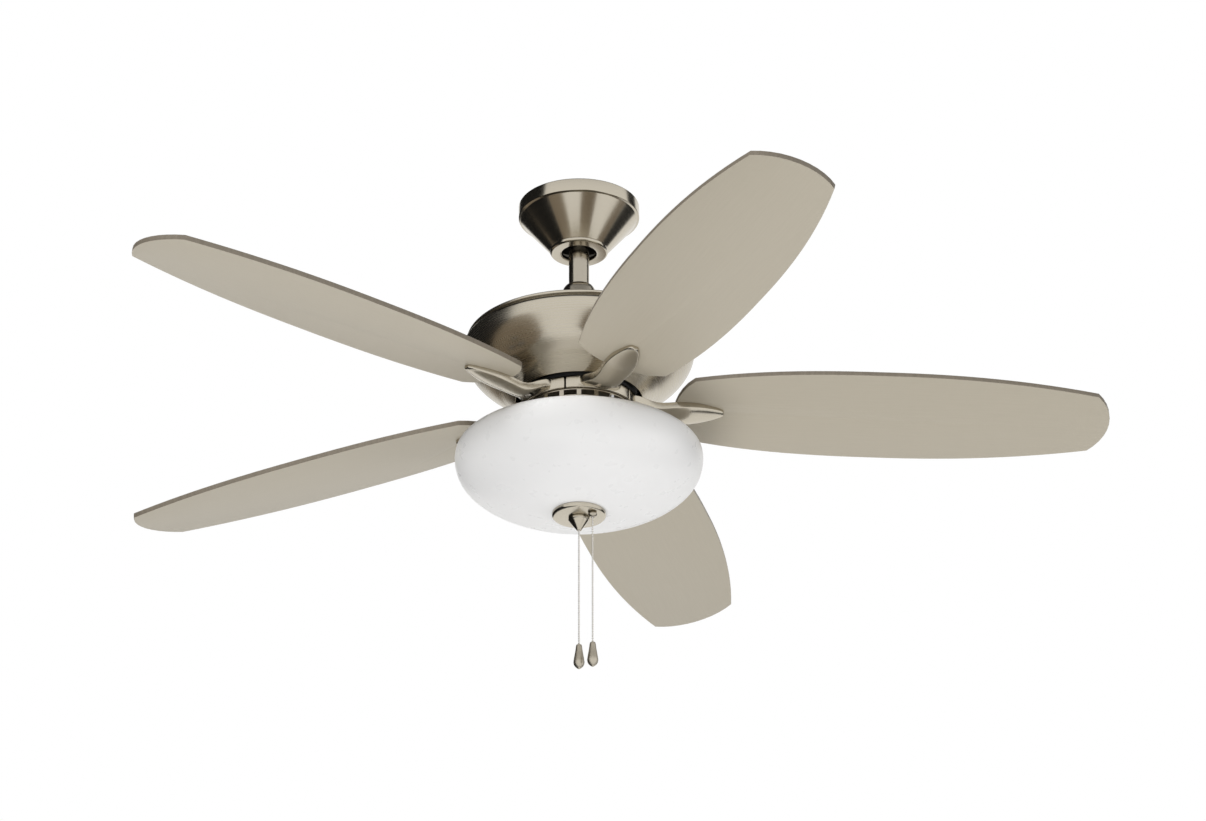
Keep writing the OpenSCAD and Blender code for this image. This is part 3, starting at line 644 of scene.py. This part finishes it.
def armFoot():
    # one fifth of the ring at the hub, spun from its section
    inner, outer = arm["foot"]
    low, high = arm["footHeight"]
    half = math.radians(180 / bladeCount - arm["seam"] / 2)
    clearSelection()
    middle = (inner + outer) / 2 * mm
    bpy.ops.mesh.primitive_plane_add(size=1, location=(middle, 0, (low + high) / 2 * mm),
                                     rotation=(math.radians(90), 0, 0))
    piece = bpy.context.object
    piece.name = "foot"
    bpy.ops.object.transform_apply()
    bpy.ops.object.mode_set(mode="EDIT")
    bpy.ops.mesh.select_all(action="SELECT")
    bpy.ops.transform.resize(value=((outer - inner) * mm, 1, (high - low) * mm),
                             center_override=(middle, 0, (low + high) / 2 * mm))
    bpy.ops.mesh.spin(steps=28, angle=2 * half, center=(0, 0, 0), axis=(0, 0, 1), use_normal_flip=False)
    bpy.ops.mesh.select_all(action="SELECT")
    bpy.ops.mesh.remove_doubles(threshold=joinDistance)
    bpy.ops.mesh.normals_make_consistent(inside=False)
    bpy.ops.object.mode_set(mode="OBJECT")
    spread = [math.atan2(v.co.y, v.co.x) for v in piece.data.vertices]
    turnAbout(piece, -(max(spread) + min(spread)) / 2)
    rounder(piece, 0.8, 3, 50)
    return piece


def bladeUv(piece, angle, tilt=0.0):
    # a UV map in metres, along and across the blade or arm
    layer = piece.data.uv_layers.get("UVMap") or piece.data.uv_layers.new(name="UVMap")
    along = Vector((math.cos(angle), math.sin(angle), 0))
    across = Vector((-math.sin(angle), math.cos(angle), 0))
    for loop in piece.data.loops:
        co = piece.data.vertices[loop.vertex_index].co
        layer.data[loop.index].uv = (co.dot(along), co.dot(across) / math.cos(tilt))


def bladeAngle(index):
    # direction of a blade, from the middle of its box of vertices
    total = Vector((0, 0, 0))
    mesh = nodes[f"blade_{index}"].data
    for vertex in mesh.vertices:
        total += vertex.co
    return math.atan2(total.y, total.x)


def arms(material):
    petal = armPetal()
    foot = armFoot()
    selectOnly(foot)
    petal.select_set(True)
    joined = foot.modifiers.new("join", "BOOLEAN")
    joined.operation = "UNION"
    joined.object = petal
    bpy.ops.object.modifier_apply(modifier=joined.name)
    bpy.data.objects.remove(petal)
    bpy.ops.object.shade_smooth_by_angle(angle=math.radians(38))
    bladeUv(foot, 0)
    selectOnly(foot)
    bpy.ops.transform.translate(value=(0, 0, bladePlane))
    bpy.ops.object.transform_apply()
    for index in range(1, bladeCount + 1):
        piece = foot.copy()
        piece.data = foot.data.copy()
        piece.name = f"blade_arm_{index}"
        bpy.context.scene.collection.objects.link(piece)
        turnAbout(piece, bladeAngle(index))
        place(piece, "rotor", material, f"arm_{index}")
    bpy.data.objects.remove(foot)


def blades(foil, walnut, edge):
    for index in range(1, bladeCount + 1):
        piece = copyOf(f"blade_{index}", f"fan_blade_{index}")
        rounder(piece, 1.3, 3, 50)
        angle = bladeAngle(index)
        bladeUv(piece, angle, math.radians(blade["pitch"]))
        place(piece, "rotor", foil, f"blade_{index}")
        piece.data.materials.append(walnut)
        piece.data.materials.append(edge)
        # walnut on top, foil underneath, and the sides take the dark brown of the painted edge shade
        for face in piece.data.polygons:
            face.material_index = 1 if face.normal.z > 0.8 else 2 if face.normal.z > -0.8 else 0


glass = {
    "wall": 3.2,
    "widest": -67.3,  # heights over the blades' plane
    "bottom": -149.1,
    "out": 1.228,
    "down": 2.67,
    "neck": 97,
    "neckHeight": -43.4,
    "hole": 26,
    "turn": 69,
}


def glassCurve(angle, inset):
    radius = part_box("glass_bowl")[1].x / mm
    depth = glass["widest"] - glass["bottom"]
    a = math.radians(angle)
    return ((radius - inset) * math.cos(a) ** (2 / glass["out"]),
            glass["widest"] - (depth - inset) * math.sin(a) ** (2 / glass["down"]))


def glassBowl(material):
    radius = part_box("glass_bowl")[1].x / mm
    wall, neck, top, widest = glass["wall"], glass["neck"], glass["neckHeight"], glass["widest"]
    angles = [0.6, 1.5, 3, 5, 8] + list(range(11, glass["turn"] + 1, 3)) + [glass["turn"]]
    outer = [glassCurve(a, 0) for a in angles]
    inner = [glassCurve(a, wall) for a in reversed(angles)]
    shoulder = [(neck, top - 0.6, 0.8), (neck, top, 0.8), (neck + wall, top, 0.8), (neck + wall + 5, top - 4.6, 5),
                (radius - 17, widest + 15.5, 12), (radius - 6.4, widest + 10.2, 7), (radius - 1.0, widest + 4.4, 4)]
    under = [(radius - wall - 1.2, widest + 4, 3), (radius - 9, widest + 7.4, 5), (radius - 18, widest + 12, 10),
             (neck + 5, top - 8.0, 5), (neck, top - 4, 2)]
    lip = [(glass["hole"] + 0.4, outer[-1][1] - 0.6, 0.5), (glass["hole"], outer[-1][1] + 1.0, 0.6),
           (glass["hole"], inner[0][1] - 0.8, 0.6)]
    profile = rounded(shoulder + outer + lip + inner + under, closed=True)
    piece = turned("opal_bowl", profile, 192, bladePlane, smooth=60)
    place(piece, "hanging_body", material, "glass_bowl")


finial = {
    "plateHole": 5.2,
    "knob": 13,
}


def finialPlate(material):
    low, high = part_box("finial_plate")
    rim = high.x / mm
    top, foot = (high.z - bladePlane) / mm, (low.z - bladePlane) / mm
    hole = finial["plateHole"]
    corners = [(hole, foot), (20, foot + 0.3, 6), (rim - 2.6, foot + 1.2, 1.6), (rim - 0.2, foot + 2.6, 1.4),
               (rim, top - 0.4, 0.4), (rim - 0.6, top, 0.3), (rim - 1.2, top - 0.4, 0.4),
               (rim - 1.2, foot + 3.4, 1.2), (rim - 3.4, foot + 2.2, 1.4), (20, foot + 1.3, 6), (hole, foot + 1)]
    piece = turned("finial_cup", rounded(corners, closed=True), 128, bladePlane)
    place(piece, "hanging_body", material, "finial_plate")


def finialKnob(material):
    low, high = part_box("finial_knob")
    top, foot = (high.z - bladePlane) / mm, (low.z - bladePlane) / mm
    knob = finial["knob"]
    corners = [(1.8, foot), (2.9, foot, 0.4), (3.5, foot + 1.4, 0.6), (4.9, foot + 3.0, 1), (8.8, foot + 8.0, 2),
               (knob - 1.6, foot + 11.8, 1), (knob - 1.3, foot + 12.6, 0.4), (knob, foot + 13.3, 0.8),
               (knob, top - 0.5, 0.5), (knob - 1, top, 0.4), (5, top), (5, foot + 7), (1.8, foot + 7)]
    piece = turned("finial_nut", rounded(corners, closed=True), 96, bladePlane)
    place(piece, "hanging_body", material, "finial_knob")


def chainBushing(material):
    low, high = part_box("chain_bushing")
    axis = ((low.x + high.x) / 2, (low.y + high.y) / 2)
    top, foot, radius = high.z / mm, low.z / mm, (high.x - low.x) / 2 / mm
    corners = [(1.7, foot + 0.5, 0.3), (2.3, foot, 0.4), (radius - 2.4, foot + 0.2, 1), (radius - 0.6, foot + 1.4, 1),
               (radius, foot + 3.4, 1), (radius - 0.6, foot + 5, 0.4), (3, foot + 5.1), (3, top), (1.7, top)]
    piece = turned("chain_eyelet", rounded(corners, closed=True), 48, 0, axis)
    place(piece, "hanging_body", material, "chain_bushing")


studio = {
    "floor": -3.6,
    "floorSize": 7,
    "warm": (1, 0.995, 0.98, 1),
    "ambient": 0.47,  # strength for soft light
    "ceiling": (0.48, 0.8, 0.12),  # heights where the sky starts and ends getting darker, and what is left
    # direction from +X, half width and soft edge in degrees, and the brightness left, of the dark flags
    "flags": [(157, 43, 4, 0.012), (30, 13, 4, 0.03)],
    # place, power and size of each lamp
    "lamps": {
        "keyLamp": ((-1.0, -1.6, -3.3), 58, 2.0),
        "sideLamp": ((3.0, -0.5, -1.9), 24, 1.6),
        "topLamp": ((-1.3, -1.7, 2.6), 90, 2.4),
    },
}


def studioWorld():
    # soft even light, a bright sky with dark flags for reflections, and plain white behind the fan
    sky = bpy.data.worlds.new("studioWorld")
    bpy.context.scene.world = sky
    sky.use_nodes = True
    tree = sky.node_tree
    tree.nodes.clear()

    def add(kind, settings=None):
        made = tree.nodes.new("ShaderNode" + kind)
        for key, value in (settings or {}).items():
            setattr(made, key, value)
        return made

    def faded(value, start, end, left):
        # from 1 down to what is left, as the value goes from start to end
        made = add("MapRange", {"interpolation_type": "SMOOTHSTEP"})
        tree.links.new(value, made.inputs["Value"])
        for socket, number in {"From Min": start, "From Max": end, "To Min": 1.0, "To Max": left}.items():
            made.inputs[socket].default_value = number
        return made.outputs["Result"]

    direction = add("TexCoord").outputs["Generated"]
    flat = add("VectorMath", {"operation": "MULTIPLY"})
    tree.links.new(direction, flat.inputs[0])
    flat.inputs[1].default_value = (1, 1, 0)
    level = add("VectorMath", {"operation": "NORMALIZE"})
    tree.links.new(flat.outputs[0], level.inputs[0])
    height = add("SeparateXYZ")
    tree.links.new(direction, height.inputs[0])
    bright = faded(height.outputs["Z"], *studio["ceiling"])
    for turn, half, soft, left in studio["flags"]:
        aim = add("VectorMath", {"operation": "DOT_PRODUCT"})
        tree.links.new(level.outputs[0], aim.inputs[0])
        aim.inputs[1].default_value = (math.cos(math.radians(turn)), math.sin(math.radians(turn)), 0)
        edge, full = math.cos(math.radians(half + soft)), math.cos(math.radians(half))
        product = add("Math", {"operation": "MULTIPLY"})
        tree.links.new(bright, product.inputs[0])
        tree.links.new(faded(aim.outputs["Value"], edge, full, left), product.inputs[1])
        bright = product.outputs[0]
    soft, mirrored, plain = add("Background"), add("Background"), add("Background")
    soft.inputs["Strength"].default_value = studio["ambient"]
    tree.links.new(bright, mirrored.inputs["Strength"])
    for backdrop, color in ((soft, studio["warm"]), (mirrored, studio["warm"]), (plain, (1, 1, 1, 1))):
        backdrop.inputs["Color"].default_value = color
    ray = add("LightPath")
    shine = add("MixShader")
    tree.links.new(ray.outputs["Is Glossy Ray"], shine.inputs[0])
    tree.links.new(soft.outputs[0], shine.inputs[1])
    tree.links.new(mirrored.outputs[0], shine.inputs[2])
    seen = add("MixShader")
    tree.links.new(ray.outputs["Is Camera Ray"], seen.inputs[0])
    tree.links.new(shine.outputs[0], seen.inputs[1])
    tree.links.new(plain.outputs[0], seen.inputs[2])
    tree.links.new(seen.outputs[0], add("OutputWorld").inputs["Surface"])


def floorAndLights():
    clearSelection()
    bpy.ops.mesh.primitive_plane_add(size=studio["floorSize"], location=(0, 0, studio["floor"]))
    floor = bpy.context.object
    floor.name = "studioFloor"
    floor.data.materials.append(Shader("floorPaper", (0.86, 0.855, 0.845), roughness=0.8).material)
    floor.visible_glossy = False
    for name, (spot, power, size) in studio["lamps"].items():
        bpy.ops.object.light_add(type="AREA", location=spot)
        lamp = bpy.context.object
        lamp.name = name
        lamp.data.energy = power
        lamp.data.size = size
        lamp.visible_glossy = False
        aim = Vector((0, 0, bladePlane)) - Vector(spot)
        lamp.rotation_euler = aim.to_track_quat("-Z", "Y").to_euler()
    bpy.context.scene.view_settings.view_transform = "Standard"
    bpy.context.scene.view_settings.look = "None"


addCamera()
finishes = slotMaterials()
roundNickel = turnedNickel()
satin = satinNickel()
blackened = speckled("blackenedSteel", (0.035, 0.034, 0.032), (0.05, 0.048, 0.045), 0, 0.5, 0.65, 300)
lightRoute = routeDown(chain["light"], "light_fob")
fanRoute = routeDown(chain["fan"], "fan_fob")
fanDrop = dropFob("fan_drop", fanRoute[-1], "fan_pull", satin, "fan_fob")
lightDrop = dropFob("light_drop", lightRoute[-1], "light_pull", satin, "light_fob")
beadChain("fan_bead_chain", fanRoute, "fan_pull", finishes["bead_chain"], "fan_chain")
beadChain("light_bead_chain", lightRoute, "light_pull", finishes["bead_chain"], "light_chain")
print("camera and chains made")

for name, node in nodes.items():
    node.data.materials.clear()
    node.data.materials.append(blackened if name == "hanger_bracket" else finishes[slotOf[name]])
canopy(roundNickel)
canopyRing(roundNickel)
bellCover(roundNickel)
housingFinish = housingNickel()
housingShell(housingFinish)
housingTop(housingFinish)
print("canopy and housing made")

arms(castNickel())
print("arms made")
blades(finishes["blade_finish"], bladeWalnut(), paintedEdgeShade())
print("blades made")

glassBowl(finishes["opal_glass"])
finialPlate(roundNickel)
finialKnob(roundNickel)
chainBushing(finishes["brushed_nickel"])
print("light made")

studioWorld()
floorAndLights()
print("studio made")
